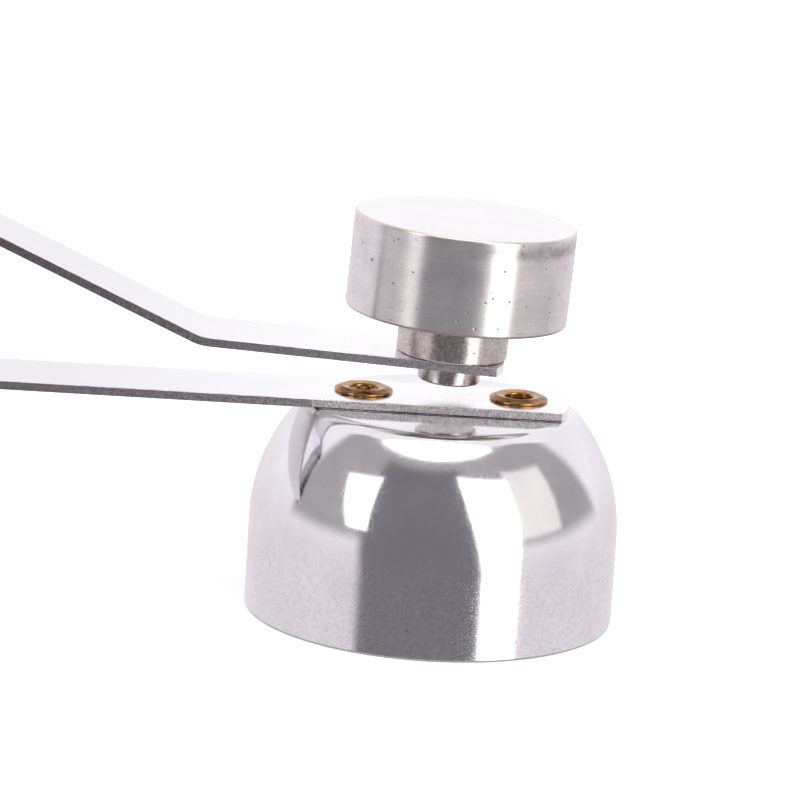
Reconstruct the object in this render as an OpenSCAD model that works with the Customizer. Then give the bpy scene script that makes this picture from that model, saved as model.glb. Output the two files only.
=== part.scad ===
// Spring-hammer egg topper: a steel bell sits over the egg, and a weight on a
// sprung strip is lifted and let go, so that it raps on the strip riveted to the
// bell and the bell's rim cracks a neat ring in the shell.
// Millimetres, +Z up. The origin is the centre of the bell's open rim, the
// handle runs along -X and the hammer stands over the bell.

/* [Bell] */
// Outer diameter of the bell at its rim
bell_d = 33.5; // [31:0.5:36]
// Height of the bell, from its rim to its flat top
bell_h = 19.25; // [17:0.05:24]
// Thickness of the bell's sheet metal
bell_wall = 1; // [0.8:0.1:1.3]
// Diameter of the flat on the bell's top
bell_flat_d = 22.6; // [21:0.1:24]
// Radius of the tight bend around the flat
bell_shoulder_r = 2.1; // [1.8:0.1:3]
// Radius of the long curve from that bend down to the straight skirt
bell_side_r = 16.2; // [13:0.1:18]
// Radius of the broken outer edge of the rim
bell_edge_r = 0.2; // [0.1:0.05:0.3]

/* [Strips] */
// Width of both steel strips
strip_w = 9; // [8:0.5:11]
// Thickness of both steel strips
strip_t = 0.8; // [0.5:0.1:0.9]
// Distance that the lower strip reaches past the bell's axis
strip_tip_x = 11.5; // [11:0.1:14]
// Distance that the handle's tail end lies behind the bell's axis
strip_tail_x = 105; // [103:1:120]
// Radius of the curve that the strips' ends are ground to
strip_end_r = 9; // [7:0.5:15]
// Distance that the front ends' curve is off centre, towards -Y
strip_end_skew = 1; // [0:0.1:1.5]

/* [Spring arm] */
// Place of the hammer's axis along X, where it crosses the arm
hammer_x = 0.65; // [-1:0.05:1.5]
// Length of the arm in front of the hammer's axis
arm_nose = 4.8; // [4:0.1:6]
// Length of the arm's front part, from the hammer's axis back to the kink
arm_front = 22.4; // [20:0.1:24]
// Slope of the arm's front part, down towards its tip, in degrees
arm_droop = 2.8; // [0:0.1:4]
// Slope of the arm's middle part, up from the kink, in degrees
arm_rise = 23.7; // [18:0.1:26]
// Distance that the top of the arm's hump lies behind the bell's axis
arm_peak_x = 52; // [48:0.5:53]
// Distance that the arm's foot lies behind the bell's axis
arm_foot_x = 88; // [87:0.5:89]
// Bend radius at the kink
arm_kink_r = 4; // [2:0.5:8]
// Bend radius at the hump
arm_peak_r = 8; // [4:0.5:9]
// Bend radius at the foot
arm_foot_r = 6; // [3:0.5:8]

/* [Hammer] */
// Diameter of the hammer head
head_d = 20; // [16:0.1:24]
// Height of the hammer head
head_h = 8.7; // [7:0.1:12]
// Radius of the head's rounded edges
head_edge_r = 0.25; // [0.2:0.05:0.8]
// Depth of the blind hole in the head
head_hole_depth = 5.5; // [5:0.1:6]
// Diameter of the spacer collar under the head
collar_d = 10; // [8:0.1:12]
// Height of the spacer collar
collar_h = 3.7; // [2:0.1:5]
// Diameter of the striker pin's head
pin_head_d = 5.6; // [4.6:0.1:6]
// Height of the striker pin's head
pin_head_h = 1.7; // [1:0.05:2.5]
// Diameter of the striker pin's shank
pin_d = 3.4; // [2.6:0.1:3.6]
// Free travel between the striker pin and the lower strip at rest
strike_gap = 1.45; // [1.2:0.05:3]

/* [Eyelets] */
// Distance of each bell eyelet from the bell's axis
bell_eyelet_x = 7; // [6.5:0.1:7.5]
// Distance of the front tail eyelet behind the bell's axis
tail_eyelet_front_x = 94; // [92.5:0.5:94]
// Distance of the rear tail eyelet behind the bell's axis
tail_eyelet_rear_x = 100.5; // [100:0.5:101]
// Diameter of an eyelet's upper flange
eyelet_flange_d = 5.3; // [5:0.1:5.6]
// Height of an eyelet's upper flange
eyelet_flange_h = 0.5; // [0.45:0.05:0.8]
// Diameter of the crest of an eyelet's upper flange
eyelet_crest_d = 3.95; // [3.7:0.05:4.2]
// Diameter of an eyelet's set lower flange
eyelet_set_d = 4.9; // [4.6:0.1:5.2]
// Height of an eyelet's set lower flange
eyelet_set_h = 0.6; // [0.5:0.05:0.7]
// Diameter of an eyelet's barrel
eyelet_d = 3.2; // [3.1:0.1:3.4]
// Diameter of the hole through an eyelet
eyelet_bore_d = 2.5; // [2.3:0.1:2.6]

/* [Hidden] */
fit = 0.02;                 // radial clearance of a pin or barrel in its hole
hinge_gap = 0.03;           // clearance around the nose where the arm flexes
pin_end_gap = 0.5;          // room above the pin's end in the head's blind hole
round_steps = 96;           // steps round a full circle
side_steps = 24;            // steps along the bell's long side curve
shoulder_steps = 10;        // steps round the bell's tight shoulder bend
bend_steps = 8;             // steps round each bend of the arm
edge_steps = 5;             // steps round a small edge
cut = 1;                    // how far a cutting shape runs past what it cuts

bell_r = bell_d / 2;
bell_flat_r = bell_flat_d / 2;
shoulder_turn = asin((bell_side_r - bell_r + bell_flat_r) / (bell_side_r - bell_shoulder_r));
skirt_h = bell_h - bell_shoulder_r * (1 - cos(shoulder_turn)) - bell_side_r * cos(shoulder_turn);

base_top = bell_h + strip_t;
arm_mid_z = base_top + strike_gap + pin_head_h + strip_t / 2;
foot_mid_z = base_top + strip_t / 2;
arm_room_h = 40;            // more than the height of the whole arm

// The arm's mid-line in the X-Z plane, as the corners of its bends
hammer_at = [hammer_x, arm_mid_z];
tip_at = hammer_at + arm_nose * [cos(arm_droop), -sin(arm_droop)];
kink_at = hammer_at - arm_front * [cos(arm_droop), -sin(arm_droop)];
peak_at = [-arm_peak_x, kink_at[1] + (kink_at[0] + arm_peak_x) * tan(arm_rise)];
foot_at = [-arm_foot_x, foot_mid_z];
tail_at = [-strip_tail_x, foot_mid_z];
arm_climb = atan2(peak_at[1] - foot_at[1], peak_at[0] - foot_at[0]);

// A clamped strip that is loaded at its end turns as if it were hinged a third
// of the way along, so that is where the moving arm meets its fixed tail
arm_length = norm(peak_at - foot_at) + norm(kink_at - peak_at) + arm_front;
hinge_at = foot_at + arm_length / 3 * [cos(arm_climb), sin(arm_climb)];

// Points along an arc, from angle a0 to angle a1
function arc(centre, rx, ry, a0, a1, steps) =
    [for (i = [0:steps]) let (a = a0 + (a1 - a0) * i / steps) centre + [rx * cos(a), ry * sin(a)]];

function reversed(points) = [for (i = [len(points) - 1:-1:0]) points[i]];

// The bell's surface from the axis out and down to the rim, set in by inset
function bell_curve(inset) = concat(
    [[0, bell_h - inset]],
    arc([bell_flat_r, bell_h - bell_shoulder_r], bell_shoulder_r - inset, bell_shoulder_r - inset,
        90, 90 - shoulder_turn, shoulder_steps),
    arc([bell_r - bell_side_r, skirt_h], bell_side_r - inset, bell_side_r - inset,
        90 - shoulder_turn, 0, side_steps));

// One side of a bent strip round a corner: the mid-line's arc, moved sideways
function bend_side(corner, a_in, a_out, r, side) =
    let (turn = a_out - a_in,
         reach = r * tan(abs(turn) / 2),
         start = corner - reach * [cos(a_in), sin(a_in)],
         hand = sign(turn),
         centre = start + hand * r * [-sin(a_in), cos(a_in)],
         side_r = r - hand * side)
    [for (i = [0:bend_steps]) let (a = a_in + turn * i / bend_steps)
        centre + hand * side_r * [sin(a), -cos(a)]];

// One end of a strip, as a point beside its mid-line
function end_side(at, a, side) = [at + side * [-sin(a), cos(a)]];

// A strip's solid, from the outline of its two long sides in the X-Z plane
module bent_strip(upper, lower) {
    rotate([90, 0, 0])
        translate([0, 0, -strip_w / 2])
            linear_extrude(strip_w)
                polygon(concat(upper, reversed(lower)));
}

// All that lies behind a strip's round front end at end_x, as seen from above
module behind_nose(end_x, bottom, height) {
    centre_x = end_x - strip_end_r;
    translate([0, 0, bottom]) {
        translate([-2 * strip_tail_x, -strip_w, 0])
            cube([2 * strip_tail_x + centre_x, 2 * strip_w, height]);
        translate([centre_x, -strip_end_skew, 0])
            cylinder(r = strip_end_r, h = height, $fn = 2 * round_steps);
    }
}

// All that lies in front of a strip's round tail end, as seen from above
module before_tail(bottom, height) {
    centre_x = strip_end_r - strip_tail_x;
    translate([centre_x, 0, bottom]) {
        translate([0, -strip_w, 0])
            cube([2 * strip_tail_x, 2 * strip_w, height]);
        cylinder(r = strip_end_r, h = height, $fn = 2 * round_steps);
    }
}

// A round hole down through a strip or the bell's top
module drill(x, d, bottom, top) {
    translate([x, 0, bottom - cut])
        cylinder(d = d + 2 * fit, h = top - bottom + 2 * cut, $fn = round_steps);
}

// A rolled flange that lies on z = 0, from its foot over its crest to its mouth
function flange_curve(d, crest_d, h) =
    let (edge_r = 0.14,
         crest_edge_r = 0.12,
         lip_r = 0.2,
         mouth_drop = 0.12,
         slope = atan2(d / 2 - crest_d / 2, h - 2 * edge_r))
    concat(
        arc([d / 2 - edge_r, edge_r], edge_r, edge_r, -90, slope, edge_steps),
        arc([crest_d / 2, h - crest_edge_r], crest_edge_r, crest_edge_r, slope, 95, edge_steps),
        arc([eyelet_bore_d / 2 + lip_r, h - mouth_drop - lip_r], lip_r, lip_r, 95, 180, edge_steps));

// A rolled eyelet that clamps everything from z = bottom to z = top
module eyelet(x, bottom, top) {
    barrel_r = eyelet_d / 2;
    set_crest_d = (eyelet_set_d + eyelet_d) / 2;
    upper = flange_curve(eyelet_flange_d, eyelet_crest_d, eyelet_flange_h);
    lower = flange_curve(eyelet_set_d, set_crest_d, eyelet_set_h);
    color("peru")
        translate([x, 0, 0])
            rotate_extrude($fn = round_steps)
                polygon(concat(
                    [for (p = upper) [p[0], top + p[1]]],
                    [for (p = reversed(lower)) [p[0], bottom - p[1]]],
                    [[barrel_r, bottom], [barrel_r, top]]));
}

// Stands a child on the arm's upper face at the hammer's axis
module on_arm() {
    translate([hammer_at[0], 0, hammer_at[1]])
        rotate([0, arm_droop, 0])
            translate([0, 0, strip_t / 2])
                children();
}

// The pressed steel bell, with the two holes for its eyelets
module bell() {
    color("lightgray")
        difference() {
            rotate_extrude($fn = round_steps)
                polygon(concat(
                    bell_curve(0),
                    arc([bell_r - bell_edge_r, bell_edge_r], bell_edge_r, bell_edge_r,
                        0, -90, edge_steps),
                    [[bell_r - bell_wall, 0]],
                    reversed(bell_curve(bell_wall))));
            for (x = [-bell_eyelet_x, bell_eyelet_x])
                drill(x, eyelet_d, bell_h - bell_wall, bell_h);
        }
}

// The straight strip that is the handle's lower half and is riveted to the bell
module lower_strip() {
    color("gainsboro")
        difference() {
            intersection() {
                translate([-strip_tail_x, -strip_w / 2, bell_h])
                    cube([strip_tail_x + strip_tip_x, strip_w, strip_t]);
                behind_nose(strip_tip_x, bell_h - cut, strip_t + 2 * cut);
                before_tail(bell_h - cut, strip_t + 2 * cut);
            }
            for (x = [-bell_eyelet_x, bell_eyelet_x])
                drill(x, eyelet_d, bell_h, base_top);
            for (x = [tail_eyelet_front_x, tail_eyelet_rear_x])
                drill(-x, eyelet_d, bell_h, base_top);
        }
}

// The moving part of the upper strip: from the flexing point over the hump and
// the kink to the tip under the hammer
module spring_arm() {
    half = strip_t / 2;
    color("gainsboro")
        difference() {
            union() {
                intersection() {
                    bent_strip(arm_side(half), arm_side(-half));
                    behind_nose(tip_at[0], base_top, arm_room_h);
                }
                translate([hinge_at[0], strip_w / 2, hinge_at[1]])
                    rotate([90, 0, 0])
                        cylinder(r = half, h = strip_w, $fn = round_steps);
            }
            on_arm()
                drill(0, pin_d, -strip_t, 0);
        }
}

function arm_side(side) = concat(
    end_side(hinge_at, arm_climb, side),
    bend_side(peak_at, arm_climb, -arm_rise, arm_peak_r, side),
    bend_side(kink_at, -arm_rise, -arm_droop, arm_kink_r, side),
    end_side(tip_at, -arm_droop, side));

// The clamped end of the upper strip: from the tail up to the flexing point
module spring_arm_tail() {
    half = strip_t / 2;
    color("gainsboro")
        difference() {
            intersection() {
                bent_strip(tail_side(half), tail_side(-half));
                before_tail(base_top - cut, arm_room_h);
            }
            translate([hinge_at[0], strip_w / 2 + cut, hinge_at[1]])
                rotate([90, 0, 0])
                    cylinder(r = half + hinge_gap, h = strip_w + 2 * cut, $fn = round_steps);
            for (x = [tail_eyelet_front_x, tail_eyelet_rear_x])
                drill(-x, eyelet_d, base_top, base_top + strip_t);
        }
}

function tail_side(side) = concat(
    end_side(tail_at, 0, side),
    bend_side(foot_at, 0, arm_climb, arm_foot_r, side),
    end_side(hinge_at, arm_climb, side));

// The turned steel weight
module hammer_head() {
    r = head_d / 2 - head_edge_r;
    hole_r = pin_d / 2 + fit;
    color("silver")
        on_arm()
            translate([0, 0, collar_h])
                rotate_extrude($fn = round_steps)
                    polygon(concat(
                        [[hole_r, 0]],
                        arc([r, head_edge_r], head_edge_r, head_edge_r, -90, 0, edge_steps),
                        arc([r, head_h - head_edge_r], head_edge_r, head_edge_r, 0, 90, edge_steps),
                        [[0, head_h], [0, head_hole_depth], [hole_r, head_hole_depth]]));
}

// The turned collar that holds the weight clear of the arm
module spacer_collar() {
    chamfer = 0.2;
    r = collar_d / 2;
    hole_r = pin_d / 2 + fit;
    color("darkgray")
        on_arm()
            rotate_extrude($fn = round_steps)
                polygon([[hole_r, 0], [r - chamfer, 0], [r, chamfer],
                         [r, collar_h - chamfer], [r - chamfer, collar_h], [hole_r, collar_h]]);
}

// The headed pin that joins arm, collar and weight, and strikes the lower strip
module striker_pin() {
    chamfer = 0.25;
    r = pin_head_d / 2;
    top = strip_t + collar_h + head_hole_depth - pin_end_gap;
    color("darkgray")
        on_arm()
            translate([0, 0, -strip_t])
                rotate_extrude($fn = round_steps)
                    polygon([[0, -pin_head_h], [r - chamfer, -pin_head_h],
                             [r, chamfer - pin_head_h], [r, 0],
                             [pin_d / 2, 0], [pin_d / 2, top], [0, top]]);
}

module bell_eyelet_rear() {
    eyelet(-bell_eyelet_x, bell_h - bell_wall, base_top);
}

module bell_eyelet_front() {
    eyelet(bell_eyelet_x, bell_h - bell_wall, base_top);
}

module tail_eyelet_rear() {
    eyelet(-tail_eyelet_rear_x, bell_h, base_top + strip_t);
}

module tail_eyelet_front() {
    eyelet(-tail_eyelet_front_x, bell_h, base_top + strip_t);
}

bell();
lower_strip();
spring_arm();
spring_arm_tail();
hammer_head();
spacer_collar();
striker_pin();
bell_eyelet_rear();
bell_eyelet_front();
tail_eyelet_rear();
tail_eyelet_front();
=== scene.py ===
import math

import bmesh
import bpy
from mathutils import Matrix, Vector, noise


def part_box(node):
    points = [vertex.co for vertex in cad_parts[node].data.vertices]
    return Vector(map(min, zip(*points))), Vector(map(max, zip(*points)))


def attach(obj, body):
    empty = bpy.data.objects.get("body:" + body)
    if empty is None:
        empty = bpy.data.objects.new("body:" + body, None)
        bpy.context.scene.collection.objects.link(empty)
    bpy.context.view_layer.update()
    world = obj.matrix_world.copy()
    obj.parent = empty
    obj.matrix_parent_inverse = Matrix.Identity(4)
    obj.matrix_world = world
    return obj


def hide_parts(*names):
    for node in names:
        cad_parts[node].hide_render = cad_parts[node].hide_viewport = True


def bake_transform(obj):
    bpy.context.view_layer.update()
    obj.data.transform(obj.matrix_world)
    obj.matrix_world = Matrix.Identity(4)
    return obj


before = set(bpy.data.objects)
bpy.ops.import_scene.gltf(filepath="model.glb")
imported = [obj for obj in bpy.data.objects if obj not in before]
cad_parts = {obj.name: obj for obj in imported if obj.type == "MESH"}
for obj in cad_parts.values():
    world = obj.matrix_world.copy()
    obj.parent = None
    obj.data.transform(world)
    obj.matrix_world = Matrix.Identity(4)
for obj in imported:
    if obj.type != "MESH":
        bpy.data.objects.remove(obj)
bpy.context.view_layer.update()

MM = 0.001

# ---------------------------------------------------------------- sizes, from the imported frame
BELL_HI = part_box("bell")[1]
STRIP_LO, STRIP_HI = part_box("lower_strip")
TAIL_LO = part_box("spring_arm_tail")[0]
COLLAR_MID = (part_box("spacer_collar")[0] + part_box("spacer_collar")[1]) / 2

BELL_R = BELL_HI.x
BELL_H = BELL_HI.z
STRIP_W = STRIP_HI.y - STRIP_LO.y
STRIP_T = STRIP_HI.z - STRIP_LO.z
BASE_TOP = STRIP_HI.z

# Shapes inside those boxes, as the CAD source has them
BELL_WALL = 1.0 * MM
BELL_FLAT_R = 11.3 * MM
SHOULDER_R = 2.1 * MM
SIDE_R = 16.2 * MM
RIM_EDGE_R = 0.2 * MM
END_R = 9.0 * MM
END_SKEW = 1.0 * MM
DROOP = math.radians(2.8)
RISE = math.radians(23.7)
ARM_FRONT = 22.4 * MM
ARM_NOSE = 4.8 * MM
PEAK_X = -52.0 * MM
FOOT_X = -88.0 * MM
KINK_R, PEAK_R, FOOT_R = 4.0 * MM, 8.0 * MM, 6.0 * MM
HEAD_D, HEAD_H, HEAD_EDGE_R = 20.0 * MM, 8.7 * MM, 0.25 * MM
HOLE_DEPTH = 5.5 * MM
COLLAR_D, COLLAR_H = 10.0 * MM, 3.7 * MM
PIN_HEAD_D, PIN_HEAD_H, PIN_D = 5.6 * MM, 1.7 * MM, 3.4 * MM
PIN_TOP = COLLAR_H + HOLE_DEPTH - 0.5 * MM
EYELET_D, EYELET_BORE_D = 3.2 * MM, 2.5 * MM
FLANGE_D, FLANGE_H, CREST_D = 5.3 * MM, 0.5 * MM, 3.95 * MM
SET_D, SET_H, SET_CREST_D = 4.9 * MM, 0.6 * MM, 4.05 * MM
FIT = 0.02 * MM

# Used only here
STRIP_EDGE_R = 0.05 * MM
FLOOR_REACH = 6.0
FACET_SLACK = 0.004 * MM  # keeps finer facets inside the CAD's outline
RING_GAP = 0.04 * MM  # between an edge's round and the next ring of points, so it shades sharply
SMUDGE_Z = COLLAR_H + HEAD_H - 1.05 * MM
CAMERA_AT = (-0.008627, -0.35134, 0.10279)

ARM_UP = Vector((math.sin(DROOP), 0, math.cos(DROOP)))
ARM_ALONG = Vector((math.cos(DROOP), 0, -math.sin(DROOP)))
HAMMER_AT = COLLAR_MID - ARM_UP * (STRIP_T + COLLAR_H) / 2
ON_ARM = Matrix.Translation(HAMMER_AT + ARM_UP * STRIP_T / 2) @ Matrix.Rotation(DROOP, 4, "Y")


def eyelet_x(node):
    lo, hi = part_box(node)
    return (lo.x + hi.x) / 2


# ---------------------------------------------------------------- mesh helpers
def new_object(name, mesh):
    obj = bpy.data.objects.new(name, mesh)
    bpy.context.scene.collection.objects.link(obj)
    return obj


def arc(centre, radius, a0, a1, steps):
    """Points (r, z) on an arc from angle a0 to a1, in degrees."""
    angles = [math.radians(a0 + (a1 - a0) * i / steps) for i in range(steps + 1)]
    return [(centre[0] + radius * math.cos(a), centre[1] + radius * math.sin(a)) for a in angles]


def lathe(name, profile, segments=192, shape=None):
    """A closed outline (r, z) turned round Z. shape(angle, r, z) may move a point of it."""
    bm = bmesh.new()
    rings = []
    for r, z in profile:
        if r < 1e-9:
            rings.append([bm.verts.new((0, 0, z))])
            continue
        ring = []
        for i in range(segments):
            a = math.tau * i / segments
            r2, z2 = shape(a, r, z) if shape else (r, z)
            ring.append(bm.verts.new((r2 * math.cos(a), r2 * math.sin(a), z2)))
        rings.append(ring)
    for k, ring in enumerate(rings):
        after = rings[(k + 1) % len(rings)]
        if len(ring) == 1 and len(after) == 1:
            continue
        for i in range(segments):
            j = (i + 1) % segments
            corners = [ring[i % len(ring)], ring[j % len(ring)], after[j % len(after)], after[i % len(after)]]
            bm.faces.new(list(dict.fromkeys(corners)))
    bmesh.ops.recalc_face_normals(bm, faces=bm.faces)
    mesh = bpy.data.meshes.new(name)
    bm.to_mesh(mesh)
    bm.free()
    return new_object(name, mesh)


def bake_modifiers(obj):
    """Replaces the object's mesh by what its modifiers make of it."""
    graph = bpy.context.evaluated_depsgraph_get()
    mesh = bpy.data.meshes.new_from_object(obj.evaluated_get(graph))
    obj.modifiers.clear()
    obj.data = mesh
    return obj


def drill(obj, places, diameter, low, high):
    """Cuts round holes down through obj at the places (x, y)."""
    for x, y in places:
        steps = [(0, low), (diameter / 2, low), (diameter / 2, high), (0, high)]
        cutter = lathe("cutter", steps, 96)
        cutter.location = (x, y, 0)
        hole = obj.modifiers.new("hole", "BOOLEAN")
        hole.operation = "DIFFERENCE"
        hole.solver = "EXACT"
        hole.object = cutter
        bpy.context.view_layer.update()
        bake_modifiers(obj)
        bpy.data.objects.remove(cutter)
    return obj


def shade(obj, sharp=35):
    """Smooth shading that keeps edges sharper than this angle, in degrees, and flat faces flat."""
    obj.data.shade_smooth()
    obj.data.set_sharp_from_angle(angle=math.radians(sharp))
    weighted = obj.modifiers.new("weighted_normals", "WEIGHTED_NORMAL")
    weighted.keep_sharp = True
    weighted.weight = 100
    return obj


def strip_blank(name, length, holes):
    """A flat strip from x = 0 to x = length, y across and z from -T/2 to T/2, with round ends.

    The nose's round is off centre, towards -Y. Its rim faces get material 1.
    """
    half = STRIP_W / 2
    outline = []
    for end, skew in ((1, END_SKEW), (-1, 0)):
        centre_x = length - END_R if end > 0 else END_R
        y0, y1 = (-half, half) if end > 0 else (half, -half)
        a0, a1 = (math.asin((y + skew) / END_R) for y in (y0, y1))
        for i in range(33):
            a = a0 + (a1 - a0) * i / 32
            outline.append((centre_x + end * END_R * math.cos(a), END_R * math.sin(a) - skew))
    bm = bmesh.new()
    bottom = bm.faces.new([bm.verts.new((x, y, -STRIP_T / 2)) for x, y in outline])
    top = bmesh.ops.extrude_face_region(bm, geom=[bottom])
    moved = [g for g in top["geom"] if isinstance(g, bmesh.types.BMVert)]
    bmesh.ops.translate(bm, verts=moved, vec=(0, 0, STRIP_T))
    bmesh.ops.recalc_face_normals(bm, faces=bm.faces)
    mesh = bpy.data.meshes.new(name)
    bm.to_mesh(mesh)
    bm.free()
    obj = new_object(name, mesh)
    for x, diameter in holes:
        drill(obj, [(x, 0)], diameter + 2 * FIT, -STRIP_T, STRIP_T)
    bevel = obj.modifiers.new("broken_edge", "BEVEL")
    bevel.width = STRIP_EDGE_R
    bevel.segments = 3
    bevel.limit_method = "ANGLE"
    bevel.angle_limit = math.radians(40)
    bpy.context.view_layer.update()
    bake_modifiers(obj)
    for face in obj.data.polygons:
        sheared = abs(face.normal.z) < 0.5 and abs(face.normal.x) < 0.3
        face.material_index = 1 if sheared else 0
    return obj


def slice_along(obj, stations):
    """Cuts a flat blank across at each x, so that it can bend there."""
    bm = bmesh.new()
    bm.from_mesh(obj.data)
    for x in stations:
        everything = bm.verts[:] + bm.edges[:] + bm.faces[:]
        bmesh.ops.bisect_plane(bm, geom=everything, dist=1e-8, plane_co=(x, 0, 0), plane_no=(1, 0, 0))
    bm.to_mesh(obj.data)
    bm.free()


# ---------------------------------------------------------------- node helpers
class Nodes:
    """Short ways to build a material's node tree."""

    def __init__(self, name):
        self.material = bpy.data.materials.new(name)
        self.material.use_nodes = True
        self.tree = self.material.node_tree
        self.tree.nodes.clear()
        self.out = self.tree.nodes.new("ShaderNodeOutputMaterial")
        self.shader = self.tree.nodes.new("ShaderNodeBsdfPrincipled")
        self.link(self.shader.outputs[0], self.out.inputs["Surface"])
        self.place = self.tree.nodes.new("ShaderNodeTexCoord").outputs["Object"]

    def link(self, a, b):
        self.tree.links.new(a, b)

    def put(self, socket, value):
        if isinstance(value, bpy.types.NodeSocket):
            self.link(value, socket)
        else:
            socket.default_value = value

    def math(self, operation, a, b=0.0, c=0.0, clamp=False):
        node = self.tree.nodes.new("ShaderNodeMath")
        node.operation = operation
        node.use_clamp = clamp
        for socket, value in zip(node.inputs, (a, b, c)):
            self.put(socket, value)
        return node.outputs[0]

    def stretch(self, scale, vector=None):
        """Texture place, scaled differently along X, Y and Z (repeats per metre)."""
        node = self.tree.nodes.new("ShaderNodeVectorMath")
        node.operation = "MULTIPLY"
        self.put(node.inputs[0], vector or self.place)
        node.inputs[1].default_value = scale
        return node.outputs[0]

    def noise(self, scale, detail=2.0, roughness=0.5, vector=None):
        node = self.tree.nodes.new("ShaderNodeTexNoise")
        self.put(node.inputs["Vector"], vector or self.place)
        node.inputs["Scale"].default_value = scale
        node.inputs["Detail"].default_value = detail
        node.inputs["Roughness"].default_value = roughness
        return node.outputs["Fac"]

    def cells(self, scale, vector=None):
        node = self.tree.nodes.new("ShaderNodeTexVoronoi")
        self.put(node.inputs["Vector"], vector or self.place)
        node.inputs["Scale"].default_value = scale
        return node.outputs["Distance"], node.outputs["Color"]

    def remap(self, value, a, b, low=0.0, high=1.0, smooth=False):
        node = self.tree.nodes.new("ShaderNodeMapRange")
        node.interpolation_type = "SMOOTHSTEP" if smooth else "LINEAR"
        self.put(node.inputs["Value"], value)
        for socket, number in zip(("From Min", "From Max", "To Min", "To Max"), (a, b, low, high)):
            node.inputs[socket].default_value = number
        return node.outputs["Result"]

    def mix(self, factor, a, b):
        node = self.tree.nodes.new("ShaderNodeMix")
        node.data_type = "RGBA"
        self.put(node.inputs[0], factor)
        self.put(node.inputs[6], a)
        self.put(node.inputs[7], b)
        return node.outputs[2]

    def axes(self, vector=None):
        node = self.tree.nodes.new("ShaderNodeSeparateXYZ")
        self.put(node.inputs[0], vector or self.place)
        return node.outputs

    def distance(self, point, squash=(1, 1, 1)):
        """Distance from a point, in metres, stretched along each axis."""
        off = self.tree.nodes.new("ShaderNodeVectorMath")
        off.operation = "SUBTRACT"
        self.put(off.inputs[0], self.place)
        off.inputs[1].default_value = point
        size = self.tree.nodes.new("ShaderNodeVectorMath")
        size.operation = "LENGTH"
        self.link(self.stretch(squash, off.outputs[0]), size.inputs[0])
        return size.outputs["Value"]

    def bump(self, height, strength, distance, under=None):
        node = self.tree.nodes.new("ShaderNodeBump")
        node.inputs["Strength"].default_value = strength
        node.inputs["Distance"].default_value = distance
        self.put(node.inputs["Height"], height)
        if under:
            self.link(under, node.inputs["Normal"])
        return node.outputs["Normal"]

    def finish(self, colour, roughness, normal=None, metallic=1.0, **sockets):
        self.put(self.shader.inputs["Base Color"], colour)
        self.put(self.shader.inputs["Roughness"], roughness)
        self.put(self.shader.inputs["Metallic"], metallic)
        if normal:
            self.link(normal, self.shader.inputs["Normal"])
        for name, value in sockets.items():
            self.put(self.shader.inputs[name.replace("_", " ")], value)
        return self.material


def sparse_pits(n, per_metre, share, size, vector=None):
    """1 inside small round pits: one in each of a share of Voronoi cells."""
    distance, colour = n.cells(per_metre, vector)
    chosen = n.math("GREATER_THAN", n.axes(colour)[0], 1 - share)
    inside = n.remap(distance, size, size * 0.5, smooth=True)
    return n.math("MULTIPLY", chosen, inside)


def ragged_pits(n, per_metre, share, size):
    """Pits with uneven outlines, longer across than up."""
    shake = n.tree.nodes.new("ShaderNodeTexNoise")
    shake.inputs["Scale"].default_value = 6 * per_metre
    n.link(n.place, shake.inputs["Vector"])
    moved = n.tree.nodes.new("ShaderNodeVectorMath")
    moved.operation = "MULTIPLY_ADD"
    n.link(shake.outputs["Color"], moved.inputs[0])
    moved.inputs[1].default_value = [0.22 / per_metre] * 3
    n.link(n.place, moved.inputs[2])
    scale = (0.8 * per_metre, 0.8 * per_metre, per_metre)
    return sparse_pits(n, 1, share, size, n.stretch(scale, moved.outputs[0]))


# ---------------------------------------------------------------- materials
EDGE_TONES = ((0.25, 0.21, 0.24), (0.69, 0.64, 0.68), (0.28, 0.245, 0.265))


def polished_steel():
    """The bell: a mirror, hazier and mottled on the skirt, with fine grain and bright specks."""
    n = Nodes("polished_bell")
    height = n.axes()[2]
    haze = n.remap(height, 0.55 * BELL_H, 0.3 * BELL_H, smooth=True)
    grain = n.noise(9000, 2, 0.7)
    mottle = n.noise(2600, 3, 0.75)
    patches = n.noise(260, 3, 0.6)
    tone = n.mix(n.remap(patches, 0.3, 0.7), (0.81, 0.79, 0.82, 1), (0.88, 0.865, 0.885, 1))
    mottled = n.math("MULTIPLY", haze, n.remap(mottle, 0.45, 0.66, 0, 0.6))
    tone = n.mix(mottled, tone, (0.66, 0.64, 0.66, 1))
    pits = n.math("MAXIMUM", sparse_pits(n, 520, 0.10, 0.06), sparse_pits(n, 1700, 0.03, 0.12))
    tone = n.mix(n.math("MULTIPLY", pits, 0.7), tone, (0.25, 0.23, 0.24, 1))
    rough = n.math("MULTIPLY_ADD", haze, 0.05, 0.035)
    rough = n.math("MULTIPLY_ADD", n.remap(grain, 0.5, 0.7), 0.22, rough)
    normal = n.bump(grain, 0.68, 0.0000021)
    normal = n.bump(patches, 0.5, 0.000012, normal)
    return n.finish(tone, rough, normal)


def bell_inside():
    """The bell's unpolished inside: drawn sheet, with faint rings."""
    n = Nodes("bell_inside")
    lines = n.noise(1, 3, 0.7, n.stretch((60, 60, 4200)))
    tone = n.mix(n.remap(lines, 0.3, 0.7), (0.55, 0.54, 0.56, 1), (0.72, 0.71, 0.73, 1))
    return n.finish(tone, n.remap(lines, 0.3, 0.7, 0.24, 0.36), n.bump(lines, 0.4, 0.00001))


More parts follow.
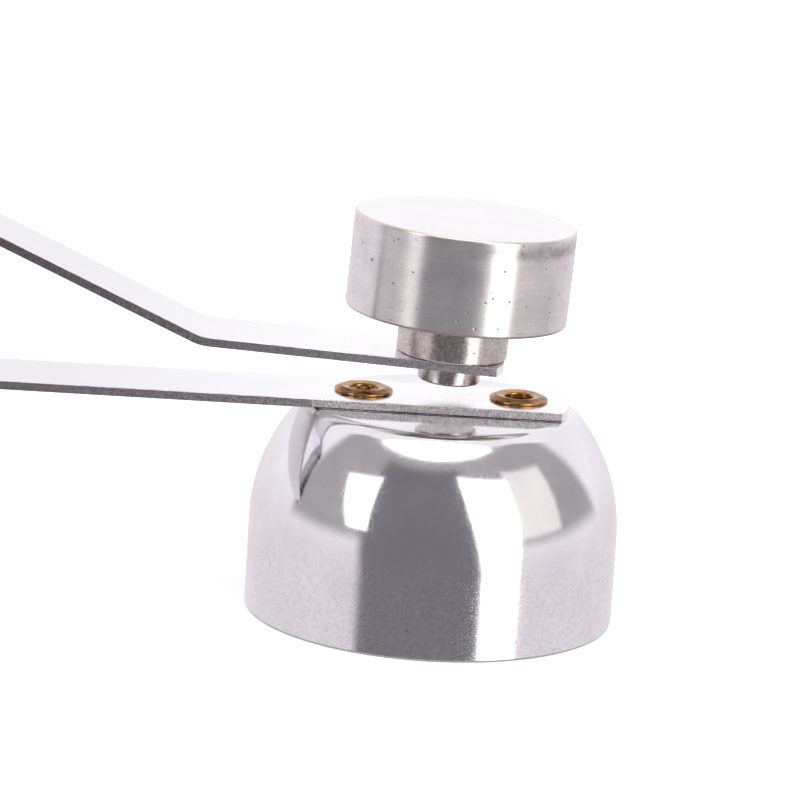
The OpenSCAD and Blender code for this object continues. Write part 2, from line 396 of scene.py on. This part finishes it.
def strip_steel(name, scuff_at, stretched, depth, half_width):
    """The strips' rolled faces, darker towards the tail.

    A patch of specks lies round scuff_at where they have been struck or clamped, as dark as depth.
    """
    n = Nodes(name)
    x, y, _ = n.axes()
    rolled = n.noise(1, 2, 0.5, n.stretch((90, 1500, 1500)))
    cloud = n.noise(300, 2, 0.5)
    bright = n.mix(n.remap(cloud, 0.3, 0.7), (0.94, 0.935, 0.945, 1), (0.97, 0.965, 0.965, 1))
    tone = n.mix(n.remap(x, -8 * MM, -34 * MM), bright, (0.80, 0.79, 0.825, 1))
    near = n.remap(n.distance(scuff_at, stretched), 2.2 * MM, 0.9 * MM)
    dots = n.math("MULTIPLY", sparse_pits(n, 3800, 0.5, 0.36), n.remap(n.noise(900, 2), 0.4, 0.55))
    marks = n.math("MULTIPLY", n.math("MULTIPLY", near, dots), depth)
    worn = n.math("MAXIMUM", marks, n.math("MULTIPLY", sparse_pits(n, 1100, 0.04, 0.10), 0.5))
    tone = n.mix(worn, tone, (0.30, 0.27, 0.34, 1))
    burr = n.remap(n.math("ABSOLUTE", y), half_width - 0.22 * MM, half_width - 0.1 * MM, smooth=True)
    burr = n.math("MULTIPLY", burr, n.remap(n.noise(420, 3, 0.7), 0.45, 0.60, smooth=True))
    tone = n.mix(n.math("MULTIPLY", burr, 0.5), tone, (0.36, 0.35, 0.39, 1))
    rough = n.math("MULTIPLY_ADD", n.remap(rolled, 0.3, 0.7), 0.06, 0.12)
    rough = n.math("MULTIPLY_ADD", worn, 0.2, rough)
    normal = n.bump(worn, 0.4, -0.00001, n.bump(rolled, 0.3, 0.000004))
    return n.finish(tone, rough, normal)


def sheared_edge(name, bright_from, bright, shade, seam_z=None):
    """A strip's cut edge: dark torn steel with fine upright marks, brighter in front of bright_from: painted
    light, standing in for the light that the bell's polished top bounces onto it.

    shade is painted shade: it darkens the part behind bright_from, and the bright part near it.
    seam_z is the height of the crevice along its foot, where it lies on the bell; a near-black line of
    painted shade runs there, with a painted glint at bright_from.
    """
    n = Nodes(name)
    x, _, z = n.axes()
    marks = n.noise(1, 3, 0.75, n.stretch((7500, 1500, 4600)))
    broad = n.noise(1, 2, 0.5, n.stretch((500, 900, 2600)))
    deep, torn, broken = [[shade * c for c in colour] + [1] for colour in EDGE_TONES]
    dark = n.mix(n.remap(marks, 0.35, 0.65), deep, torn)
    dark = n.mix(n.remap(broad, 0.45, 0.75, 0, 0.5), dark, broken)
    # Painted shade: the edge gets darker towards the tail.
    dark = n.mix(n.remap(x, bright_from, -60 * MM), dark, deep)
    # Painted light: the part in front of bright_from is brighter, standing in for light bounced up from the
    # bell's polished top.
    light = n.mix(n.remap(marks, 0.36, 0.60), [0.45 * c for c in bright] + [1], [*bright, 1])
    # Painted shade: the bright part gets darker from x = 0 back to bright_from, and darker still the lower
    # shade is.
    light = n.mix(n.remap(x, 0, bright_from, 0, 1.5 * (1 - shade)), light, deep)
    forward = n.remap(x, bright_from - 0.5 * MM, bright_from + 0.1 * MM, smooth=True)
    tone = n.mix(forward, dark, light)
    if seam_z:
        # Painted shade: a near-black line along the foot, in front of bright_from, for the shade in the
        # crevice where the strip lies on the bell.
        foot = n.remap(z, seam_z + 0.14 * MM, seam_z + 0.07 * MM, smooth=True)
        tone = n.mix(n.math("MULTIPLY", foot, forward), tone, (0.012, 0.010, 0.012, 1))
        # Painted highlight: a thin bright glint across the edge at bright_from.
        painted_glint = n.remap(n.math("ABSOLUTE", n.math("SUBTRACT", x, bright_from)), 0.07 * MM, 0.02 * MM)
        tone = n.mix(painted_glint, tone, (0.95, 0.94, 0.95, 1))
    rough = n.remap(marks, 0.3, 0.7, 0.40, 0.60)
    return n.finish(tone, rough, n.bump(marks, 0.9, 0.00002))


def radial_tangent(n):
    tangent = n.tree.nodes.new("ShaderNodeTangent")
    tangent.direction_type = "RADIAL"
    tangent.axis = "Z"
    n.link(tangent.outputs[0], n.shader.inputs["Tangent"])


def satin_steel():
    """The head's side: turned and satin, with faint rings, clouds, small pits and, on +X, a smudge; its
    rounded edges carry painted reflections and painted shade.
    """
    n = Nodes("satin_head")
    x, _, z = n.axes()
    lines = n.noise(1, 3, 0.7, n.stretch((160, 160, 7000)))
    cloud = n.noise(380, 4, 0.65)
    fine = n.noise(5200, 3, 0.75)
    tone = n.mix(n.remap(cloud, 0.35, 0.7), (0.88, 0.845, 0.84, 1), (0.73, 0.695, 0.69, 1))
    tone = n.mix(n.remap(fine, 0.42, 0.70, 0, 0.35), tone, (0.58, 0.54, 0.54, 1))
    tone = n.mix(n.remap(lines, 0.45, 0.75, 0, 0.25), tone, (0.56, 0.53, 0.53, 1))
    wobble = n.math("MULTIPLY_ADD", n.noise(600, 4, 0.7), 1.1 * MM, -0.55 * MM)
    ring = n.math("ABSOLUTE", n.math("ADD", n.math("SUBTRACT", z, SMUDGE_Z), wobble))
    smudge = n.remap(ring, 0.95 * MM, 0.05 * MM, smooth=True)
    smudge = n.math("MULTIPLY", smudge, n.remap(x, 0.02 * HEAD_D, 0.25 * HEAD_D, 0.25, 1))
    smudge = n.math("MULTIPLY", smudge, n.math("GREATER_THAN", x, 0))
    smudge = n.math("MULTIPLY", smudge, n.remap(n.noise(900, 3, 0.6), 0.3, 0.6, 0.25, 0.6))
    tone = n.mix(smudge, tone, (0.24, 0.215, 0.22, 1))
    clusters = n.remap(n.noise(240, 2, 0.5), 0.42, 0.52)
    pits = n.math("MAXIMUM", ragged_pits(n, 640, 0.3, 0.15), ragged_pits(n, 1700, 0.22, 0.2))
    pits = n.math("MULTIPLY", pits, clusters)
    dashes = n.remap(n.noise(1, 2, 0.6, n.stretch((900, 900, 4200))), 0.64, 0.72, smooth=True)
    dashes = n.math("MULTIPLY", dashes, n.remap(n.noise(170, 1), 0.48, 0.60))
    marks = n.math("MAXIMUM", n.math("MULTIPLY", pits, 0.8), n.math("MULTIPLY", dashes, 0.45))
    tone = n.mix(marks, tone, (0.16, 0.12, 0.12, 1))
    # Painted reflection: the top edge's round is tinted warm tan, standing in for the warm line of light it
    # reflects.
    top_edge_reflection = n.remap(z, COLLAR_H + HEAD_H - HEAD_EDGE_R, COLLAR_H + HEAD_H - 0.5 * HEAD_EDGE_R)
    tone = n.mix(n.math("MULTIPLY", top_edge_reflection, 0.8), tone, (0.80, 0.70, 0.60, 1))
    # Painted reflection: a tan band just above the lower edge's round, standing in for the light it reflects.
    low_edge_reflection = n.remap(z, COLLAR_H + 1.8 * HEAD_EDGE_R, COLLAR_H + HEAD_EDGE_R)
    tone = n.mix(n.math("MULTIPLY", low_edge_reflection, 0.6), tone, (0.80, 0.68, 0.56, 1))
    # Painted shade: the lower edge's round is dark brown, for the shade in the gap between head and collar.
    under_edge_shade = n.remap(z, COLLAR_H + HEAD_EDGE_R, COLLAR_H + 0.75 * HEAD_EDGE_R)
    tone = n.mix(n.math("MULTIPLY", under_edge_shade, 0.45), tone, (0.10, 0.06, 0.045, 1))
    rough = n.math("MULTIPLY_ADD", n.remap(fine, 0.3, 0.7), 0.07, 0.28)
    normal = n.bump(lines, 0.25, 0.000004)
    normal = n.bump(fine, 0.4, 0.000003, normal)
    normal = n.bump(pits, 0.6, -0.00004, normal)
    radial_tangent(n)
    return n.finish(tone, rough, normal, Anisotropic=0.92, Anisotropic_Rotation=0.25)


def satin_face():
    """The head's flat faces: faced off and rubbed smooth."""
    n = Nodes("satin_face")
    cloud = n.noise(160, 3, 0.6)
    fine = n.noise(5200, 3, 0.7)
    tone = n.mix(n.remap(cloud, 0.35, 0.7), (0.93, 0.92, 0.925, 1), (0.88, 0.87, 0.875, 1))
    tone = n.mix(n.remap(fine, 0.45, 0.75, 0, 0.3), tone, (0.80, 0.79, 0.80, 1))
    return n.finish(tone, n.remap(fine, 0.3, 0.7, 0.13, 0.2), n.bump(fine, 0.3, 0.000002))


def plain_turned_steel():
    """The collar and the pin: duller, brown in the hollows and peppered with pits."""
    n = Nodes("turned_steel")
    lines = n.noise(1, 3, 0.7, n.stretch((160, 160, 6000)))
    grit = n.noise(3400, 3, 0.75)
    cloud = n.noise(900, 3, 0.6)
    tone = n.mix(n.remap(grit, 0.40, 0.64), (0.50, 0.445, 0.43, 1), (0.76, 0.71, 0.68, 1))
    tone = n.mix(n.remap(cloud, 0.42, 0.7, 0, 0.5), tone, (0.36, 0.32, 0.30, 1))
    tone = n.mix(n.remap(lines, 0.45, 0.75, 0, 0.3), tone, (0.38, 0.345, 0.33, 1))
    pits = n.math("MAXIMUM", ragged_pits(n, 1100, 0.2, 0.14), ragged_pits(n, 2600, 0.12, 0.24))
    tone = n.mix(n.math("MULTIPLY", pits, 0.8), tone, (0.09, 0.06, 0.055, 1))
    rough = n.math("MULTIPLY_ADD", n.remap(grit, 0.3, 0.7), 0.12, 0.20)
    normal = n.bump(grit, 0.5, 0.000005)
    normal = n.bump(pits, 0.6, -0.00003, normal)
    radial_tangent(n)
    return n.finish(tone, rough, normal, Anisotropic=0.5, Anisotropic_Rotation=0.25)


def brass():
    """The eyelets: rolled brass, cloudy in tone, with a painted dark reflection on each flange's outer slope.
    """
    n = Nodes("brass_eyelet")
    cloud = n.noise(700, 3, 0.6)
    fine = n.noise(6000, 2, 0.5)
    tone = n.mix(n.remap(cloud, 0.35, 0.7), (0.58, 0.32, 0.12, 1), (0.25, 0.13, 0.055, 1))
    # Painted reflection: the flange's outer slope, between its crest and its rim, is darkened to dark brown,
    # for the dark surroundings it reflects.
    out = n.distance((0, 0, 0), (1, 1, 0))
    slope = n.remap(out, CREST_D / 2 - 0.02 * MM, CREST_D / 2 + 0.12 * MM, smooth=True)
    slope = n.math("MULTIPLY", slope, n.remap(out, FLANGE_D / 2 - 0.12 * MM, FLANGE_D / 2 - 0.3 * MM))
    tone = n.mix(n.math("MULTIPLY", slope, 0.6), tone, (0.16, 0.075, 0.045, 1))
    return n.finish(tone, n.remap(fine, 0.3, 0.7, 0.14, 0.24), n.bump(cloud, 0.35, 0.000012))


def dress(obj, slot, *materials):
    for material in materials:
        obj.data.materials.append(material)
    return obj


# ---------------------------------------------------------------- bell
def bell_curve(inset):
    turn = math.degrees(math.asin((SIDE_R - BELL_R + BELL_FLAT_R) / (SIDE_R - SHOULDER_R)))
    drop = SHOULDER_R * (1 - math.cos(math.radians(turn)))
    skirt_h = BELL_H - drop - SIDE_R * math.cos(math.radians(turn))
    return (
        [(0, BELL_H - inset), (0.9 * BELL_FLAT_R, BELL_H - inset)]
        + arc((BELL_FLAT_R, BELL_H - SHOULDER_R), SHOULDER_R - inset, 90, 90 - turn, 24)
        + arc((BELL_R - SIDE_R, skirt_h), SIDE_R - inset, 90 - turn, 0, 72)[1:]
        + [(BELL_R - inset, skirt_h * (1 - i / 8)) for i in range(1, 8)]
        + [(BELL_R - inset, RIM_EDGE_R + RING_GAP)]
    )


def make_bell(outside, inside):
    rim = arc((BELL_R - RIM_EDGE_R, RIM_EDGE_R), RIM_EDGE_R, 0, -90, 6)
    rim += arc((BELL_R - BELL_WALL + RIM_EDGE_R / 2, RIM_EDGE_R / 2), RIM_EDGE_R / 2, -90, -180, 4)
    bell = lathe("bell_shell", bell_curve(0) + rim + bell_curve(BELL_WALL)[::-1], 288)
    places = [(eyelet_x(node), 0) for node in ("bell_eyelet_rear", "bell_eyelet_front")]
    drill(bell, places, EYELET_D + 2 * FIT, BELL_H - 2 * BELL_WALL, BELL_H + BELL_WALL)
    dress(shade(bell), "polished_bell", outside, inside)
    for face in bell.data.polygons:
        c = face.center
        side_in = math.hypot(c.x, c.y) < BELL_R - 0.6 * BELL_WALL and c.z < BELL_H - 0.5 * BELL_WALL
        outward = face.normal.dot(Vector((c.x, c.y, c.z - 0.3 * BELL_H))) > 0
        face.material_index = 1 if side_in and not outward else 0
    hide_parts("bell")
    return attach(bell, "base")


# ---------------------------------------------------------------- strips
def make_lower_strip(face, edge):
    length = STRIP_HI.x - STRIP_LO.x
    nodes = ("tail_eyelet_rear", "tail_eyelet_front", "bell_eyelet_rear", "bell_eyelet_front")
    holes = [(eyelet_x(node) - STRIP_LO.x, EYELET_D) for node in nodes]
    strip = strip_blank("lower_strip_blank", length, holes)
    strip.location = (STRIP_LO.x, 0, (STRIP_LO.z + STRIP_HI.z) / 2)
    bpy.context.view_layer.update()
    strip.data.transform(strip.matrix_world)
    strip.matrix_world = Matrix.Identity(4)
    dress(shade(strip), "strip_steel", face, edge)
    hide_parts("lower_strip")
    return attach(strip, "base")


def arm_path():
    """The arm's mid-line: straight runs and bends as (length, start, heading, turn)."""
    kink = HAMMER_AT - ARM_ALONG * ARM_FRONT
    tip = HAMMER_AT + ARM_ALONG * ARM_NOSE
    peak = Vector((PEAK_X, 0, kink.z + (kink.x - PEAK_X) * math.tan(RISE)))
    foot = Vector((FOOT_X, 0, TAIL_LO.z + STRIP_T / 2))
    tail = Vector((TAIL_LO.x, 0, foot.z))
    corners = [tail, foot, peak, kink, tip]
    radii = [0, FOOT_R, PEAK_R, KINK_R, 0]
    headings = [math.atan2(b.z - a.z, b.x - a.x) for a, b in zip(corners, corners[1:])]
    runs = []
    at, reach = tail, 0.0
    for i in range(1, len(corners)):
        heading = headings[i - 1]
        turn = headings[i] - heading if i < len(headings) else 0.0
        next_reach = radii[i] * math.tan(abs(turn) / 2)
        straight = (corners[i] - corners[i - 1]).length - reach - next_reach
        runs.append((straight, at.copy(), heading, 0.0))
        at = at + straight * Vector((math.cos(heading), 0, math.sin(heading)))
        if turn:
            runs.append((radii[i] * abs(turn), at.copy(), heading, turn))
            chord = 2 * radii[i] * math.sin(abs(turn) / 2)
            middle = heading + turn / 2
            at = at + chord * Vector((math.cos(middle), 0, math.sin(middle)))
        reach = next_reach
    return runs


def on_path(runs, s):
    """Point and heading at the length s along the path."""
    for k, (length, start, heading, turn) in enumerate(runs):
        if s <= length or k == len(runs) - 1:
            if not turn:
                return start + s * Vector((math.cos(heading), 0, math.sin(heading))), heading
            swept = turn * s / length
            chord = 2 * length / abs(turn) * math.sin(abs(swept) / 2)
            middle = heading + swept / 2
            return start + chord * Vector((math.cos(middle), 0, math.sin(middle))), heading + swept
        s -= length


def make_spring_strip(face, edge):
    runs = arm_path()
    length = sum(run[0] for run in runs)
    holes = [(eyelet_x(node) - TAIL_LO.x, EYELET_D) for node in ("tail_eyelet_rear", "tail_eyelet_front")]
    holes.append((length - ARM_NOSE, PIN_D))
    strip = strip_blank("spring_strip", length, holes)
    stations, s = [], 0.0
    for run_length, _, _, turn in runs:
        step = 0.35 * MM if turn else 1.2 * MM
        count = max(1, round(run_length / step))
        stations += [s + run_length * i / count for i in range(count)]
        s += run_length
    slice_along(strip, stations[1:])
    for v in strip.data.vertices:
        point, heading = on_path(runs, v.co.x)
        up = Vector((-math.sin(heading), 0, math.cos(heading)))
        v.co = point + up * v.co.z * (1 - FACET_SLACK / STRIP_T) + Vector((0, v.co.y, 0))
    dress(shade(strip), "strip_steel", face, edge)
    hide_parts("spring_arm", "spring_arm_tail")
    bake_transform(strip)
    return strip


# ---------------------------------------------------------------- hammer
def on_the_arm(obj, node, slot, *materials):
    obj.matrix_world = ON_ARM
    dress(shade(obj), slot, *materials)
    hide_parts(node)
    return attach(obj, "striker")


def make_head(side, face):
    r, e = HEAD_D / 2 - FACET_SLACK, HEAD_EDGE_R
    hole_r = PIN_D / 2 + FIT
    groove_w, groove_d = 0.05 * MM, 0.01 * MM
    low, high = COLLAR_H, COLLAR_H + HEAD_H - FACET_SLACK / 2
    profile = (
        [(hole_r, low), (r - e - RING_GAP, low)]
        + arc((r - e, low + e), e, -90, 0, 8)
        + [(r, low + e + RING_GAP)]
        + [(r, low + (high - low) * i / 8) for i in range(1, 7)]
        + [(r, SMUDGE_Z - groove_w - RING_GAP), (r, SMUDGE_Z - groove_w), (r - groove_d, SMUDGE_Z)]
        + [(r, SMUDGE_Z + groove_w), (r, SMUDGE_Z + groove_w + RING_GAP), (r, high - e - RING_GAP)]
        + arc((r - e, high - e), e, 0, 90, 8)
        + [(r - e - RING_GAP, high), (0, high), (0, low + HOLE_DEPTH), (hole_r, low + HOLE_DEPTH)]
    )
    head = on_the_arm(lathe("hammer_weight", profile, 256), "hammer_head", "satin_head", side, face)
    for polygon in head.data.polygons:
        polygon.material_index = 1 if abs(polygon.normal.z) > 0.98 else 0
    return head


def make_collar(material):
    r, e = COLLAR_D / 2, 0.2 * MM
    hole_r = PIN_D / 2 + FIT
    profile = (
        [(hole_r, 0), (r - 2 * e, 0)]
        + arc((r - e, e), e, -90, 0, 5)
        + arc((r - e, COLLAR_H - e), e, 0, 90, 5)
        + [(r - 2 * e, COLLAR_H), (hole_r, COLLAR_H)]
    )
    return on_the_arm(lathe("collar", profile, 160), "spacer_collar", "turned_steel", material)


def make_pin(material):
    r, e = PIN_HEAD_D / 2, 0.22 * MM
    low = -STRIP_T - PIN_HEAD_H
    profile = (
        [(0, low), (r - 2 * e, low)]
        + arc((r - e, low + e), e, -90, 0, 6)
        + [(r, -STRIP_T), (PIN_D / 2, -STRIP_T), (PIN_D / 2, PIN_TOP), (0, PIN_TOP)]
    )
    return on_the_arm(lathe("striker", profile, 128), "striker_pin", "turned_steel", material)


# ---------------------------------------------------------------- eyelets
def flange_curve(diameter, crest_d, height):
    """A rolled flange that lies on z = 0, from its foot over its crest to its mouth."""
    edge_r, crest_edge_r, lip_r, mouth_drop = 0.14 * MM, 0.12 * MM, 0.2 * MM, 0.12 * MM
    slope = math.degrees(math.atan2((diameter - crest_d) / 2, height - 2 * edge_r))
    return (
        arc((diameter / 2 - edge_r, edge_r), edge_r, -90, slope, 10)
        + arc((crest_d / 2, height - crest_edge_r), crest_edge_r, slope, 95, 8)
        + arc((EYELET_BORE_D / 2 + lip_r, height - mouth_drop - lip_r), lip_r, 95, 180, 10)
    )


def make_eyelet(node, name, bottom, top, seed, pinch, material):
    """A rolled flange above, the barrel, and a set flange split into petals below.

    pinch is how far the barrel's folded petals close its bore, from 0 to 1.
    """
    bore_r, barrel_r = EYELET_BORE_D / 2, EYELET_D / 2
    petals = 6
    neck = [(bore_r, top + z * MM) for z in (0.15, 0.05, -0.05, -0.15, -0.35, -0.6)]

    def dented(a, r, z):
        wobble = noise.noise(Vector((3 * math.cos(a), 3 * math.sin(a), seed))) * 0.03 * MM
        fold = abs(math.sin(petals * a / 2 + seed))
        if abs(r - bore_r) < 1e-9 and z < top + 0.1 * MM:
            depth = min(1, (top + 0.1 * MM - z) / (0.2 * MM))
            return r * (1 - pinch * depth * (0.55 + 0.45 * fold)), z
        if z > top:
            return r - abs(wobble) * (r > CREST_D / 2), z - abs(wobble) * 0.6
        if z < bottom and r > barrel_r:
            return barrel_r + (r - barrel_r) * (0.35 + 0.65 * fold ** 0.35), z
        return r, z

    profile = (
        [(r, top + z) for r, z in flange_curve(FLANGE_D, CREST_D, FLANGE_H)]
        + neck
        + [(r, bottom - z) for r, z in reversed(flange_curve(SET_D, SET_CREST_D, SET_H))]
        + [(barrel_r, bottom), (barrel_r, top)]
    )
    eyelet = lathe(name, profile, 144, dented)
    eyelet.location = (eyelet_x(node), 0, 0)
    dress(shade(eyelet, 50), "brass_eyelet", material)
    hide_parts(node)
    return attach(eyelet, "base")


# ---------------------------------------------------------------- studio
def make_camera():
    data = bpy.data.cameras.new("camera")
    data.lens = 180
    data.sensor_width = 36
    camera = new_object("camera", data)
    yaw, pitch, roll = 0.0141, -0.2331, 0.0620
    forward = Vector((math.sin(yaw) * math.cos(pitch), math.cos(yaw) * math.cos(pitch), math.sin(pitch)))
    side = Vector((math.cos(yaw), -math.sin(yaw), 0))
    up = side.cross(forward)
    side, up = (
        math.cos(roll) * side + math.sin(roll) * up,
        math.cos(roll) * up - math.sin(roll) * side,
    )
    camera.matrix_world = Matrix.Translation(CAMERA_AT) @ Matrix(
        (side, up, -forward)
    ).transposed().to_4x4()
    data.clip_start, data.clip_end = 0.01, 50
    bpy.context.scene.camera = camera


def make_floor():
    mesh = bpy.data.meshes.new("floor")
    corners = [(FLOOR_REACH * x, FLOOR_REACH * y, 0) for x, y in ((-1, -1), (1, -1), (1, 1), (-1, 1))]
    mesh.from_pydata(corners, [], [(0, 1, 2, 3)])
    floor = new_object("floor", mesh)
    material = bpy.data.materials.new("floor")
    material.use_nodes = True
    tree = material.node_tree
    tree.nodes.clear()
    out = tree.nodes.new("ShaderNodeOutputMaterial")
    paint = tree.nodes.new("ShaderNodeBsdfDiffuse")
    paint.inputs["Color"].default_value = (0.93, 0.93, 0.94, 1)
    glow = tree.nodes.new("ShaderNodeEmission")
    glow.inputs["Strength"].default_value = 0.35
    both = tree.nodes.new("ShaderNodeAddShader")
    clear = tree.nodes.new("ShaderNodeBsdfTransparent")
    under = tree.nodes.new("ShaderNodeMixShader")
    back = tree.nodes.new("ShaderNodeNewGeometry").outputs["Backfacing"]
    for a, b in (
        (paint.outputs[0], both.inputs[0]),
        (glow.outputs[0], both.inputs[1]),
        (back, under.inputs[0]),
        (both.outputs[0], under.inputs[1]),
        (clear.outputs[0], under.inputs[2]),
        (under.outputs[0], out.inputs["Surface"]),
    ):
        tree.links.new(a, b)
    mesh.materials.append(material)
    floor.visible_glossy = False


WHITE = (3.0, 2.97, 2.95)
# The studio around the tool: the outline of each panel, as corners (azimuth, elevation) in
# degrees, then how soft its edge is, and its light. Azimuth 0 is towards -Y and +90 towards +X.
# Later ones cover earlier ones, and each outline is convex.
PANELS = (
    # the floor, the dim wall behind the camera, and the dark opening in it
    ([(-181, -21), (-181, -91), (181, -91), (181, -21)], 3, (0.46, 0.45, 0.46)),
    ([(-100, 0), (120, 0), (100, 57), (-95, 57)], 4, (0.43, 0.41, 0.42)),
    ([(-46, 50), (-46, -22), (32, -22), (18, 50)], 4, (0.20, 0.195, 0.215)),
    # the pale screen beside the right softbox
    ([(54, 43), (86, 36), (86, 3), (54, 3)], 2, (1.0, 0.96, 0.93)),
    # the ceiling, then the left and the right softbox
    ([(-66, 57), (60, 57), (66, 91), (-72, 91)], 2, WHITE),
    ([(-68, 32), (-43, 38), (-43, 6), (-56, 6)], 2, WHITE),
    ([(17, 45), (54, 38), (55, -21), (33, -21)], 2, WHITE),
)


def make_surround():
    """A pale room with softboxes, as light that comes from each direction."""
    world = bpy.data.worlds.new("studio")
    bpy.context.scene.world = world
    world.use_nodes = True
    tree = world.node_tree
    tree.nodes.clear()

    def math_node(operation, a, b=0.0, c=0.0, clamp=False):
        node = tree.nodes.new("ShaderNodeMath")
        node.operation = operation
        node.use_clamp = clamp
        for socket, value in zip(node.inputs, (a, b, c)):
            if isinstance(value, bpy.types.NodeSocket):
                tree.links.new(value, socket)
            else:
                socket.default_value = value
        return node.outputs[0]

    def mix(factor, a, b):
        node = tree.nodes.new("ShaderNodeMix")
        node.data_type = "RGBA"
        tree.links.new(factor, node.inputs[0])
        for socket, value in ((node.inputs[6], a), (node.inputs[7], b)):
            if isinstance(value, bpy.types.NodeSocket):
                tree.links.new(value, socket)
            else:
                socket.default_value = (*value, 1)
        return node.outputs[2]

    where = tree.nodes.new("ShaderNodeTexCoord").outputs["Generated"]
    split = tree.nodes.new("ShaderNodeSeparateXYZ")
    tree.links.new(where, split.inputs[0])
    x, y, z = split.outputs
    azimuth = math_node("DEGREES", math_node("ARCTAN2", x, math_node("MULTIPLY", y, -1.0)))
    elevation = math_node("DEGREES", math_node("ARCSINE", z))

    def inside(corners, soft):
        """1 inside a convex outline, falling to 0 outside it over twice soft degrees."""
        middle = [sum(c[i] for c in corners) / len(corners) for i in (0, 1)]
        mask = None
        for a, b in zip(corners, corners[1:] + corners[:1]):
            across = (b[1] - a[1], a[0] - b[0])
            size = 2 * soft * math.hypot(*across)
            if (middle[0] - a[0]) * across[0] + (middle[1] - a[1]) * across[1] < 0:
                size = -size
            nx, ny = across[0] / size, across[1] / size
            reach = math_node("MULTIPLY_ADD", azimuth, nx, 0.5 - (a[0] * nx + a[1] * ny))
            reach = math_node("MULTIPLY_ADD", elevation, ny, reach, clamp=True)
            mask = math_node("MINIMUM", mask, reach) if mask else reach
        edge = tree.nodes.new("ShaderNodeMapRange")
        edge.interpolation_type = "SMOOTHSTEP"
        tree.links.new(mask, edge.inputs["Value"])
        return edge.outputs["Result"]

    raised = math_node("MULTIPLY_ADD", elevation, 0.05, 0.5, clamp=True)
    colour = mix(raised, (0.85, 0.80, 0.84), (1.00, 0.975, 1.02))
    behind = math_node("MULTIPLY_ADD", math_node("ABSOLUTE", azimuth), 0.2, -32.8, clamp=True)
    behind = math_node("MULTIPLY", behind, raised)
    colour = mix(behind, colour, (1.02, 1.01, 1.03))
    for corners, soft, light in PANELS:
        colour = mix(inside(corners, soft), colour, light)
    seen = tree.nodes.new("ShaderNodeLightPath").outputs["Is Camera Ray"]
    back = tree.nodes.new("ShaderNodeBackground")
    tree.links.new(mix(seen, colour, (1, 1, 1)), back.inputs["Color"])
    out = tree.nodes.new("ShaderNodeOutputWorld")
    tree.links.new(back.outputs[0], out.inputs["Surface"])


make_camera()
make_surround()
make_floor()
bpy.context.scene.view_settings.view_transform = "Standard"

make_bell(polished_steel(), bell_inside())
strike_mark = (HAMMER_AT.x + 1.5 * MM, -1.6 * MM, BASE_TOP)
clamp_mark = (HAMMER_AT.x - 8.0 * MM, 0.5 * MM, HAMMER_AT.z)
flat_end = -BELL_FLAT_R - 0.15 * MM
make_lower_strip(
    strip_steel("lower_strip_steel", strike_mark, (1, 0.5, 1), 0.9, STRIP_W / 2),
    sheared_edge("lower_strip_edge", flat_end, (0.94, 0.88, 0.88), 0.98, STRIP_LO.z),
)
make_spring_strip(
    strip_steel("spring_strip_steel", clamp_mark, (0.5, 0.6, 1), 0.4, STRIP_W / 2),
    sheared_edge("spring_strip_edge", HAMMER_AT.x - ARM_FRONT, (0.60, 0.575, 0.61), 0.66),
)
make_head(satin_steel(), satin_face())
turned_steel = plain_turned_steel()
make_collar(turned_steel)
make_pin(turned_steel)
eyelet_brass = brass()
for seed, (node, bottom, top, pinch) in enumerate((
    ("bell_eyelet_rear", BELL_H - BELL_WALL, BASE_TOP, 0.45),
    ("bell_eyelet_front", BELL_H - BELL_WALL, BASE_TOP, 0.04),
    ("tail_eyelet_rear", BELL_H, BASE_TOP + STRIP_T, 0.1),
    ("tail_eyelet_front", BELL_H, BASE_TOP + STRIP_T, 0.2),
)):
    make_eyelet(node, "rolled_" + node, bottom, top, seed, pinch, eyelet_brass)
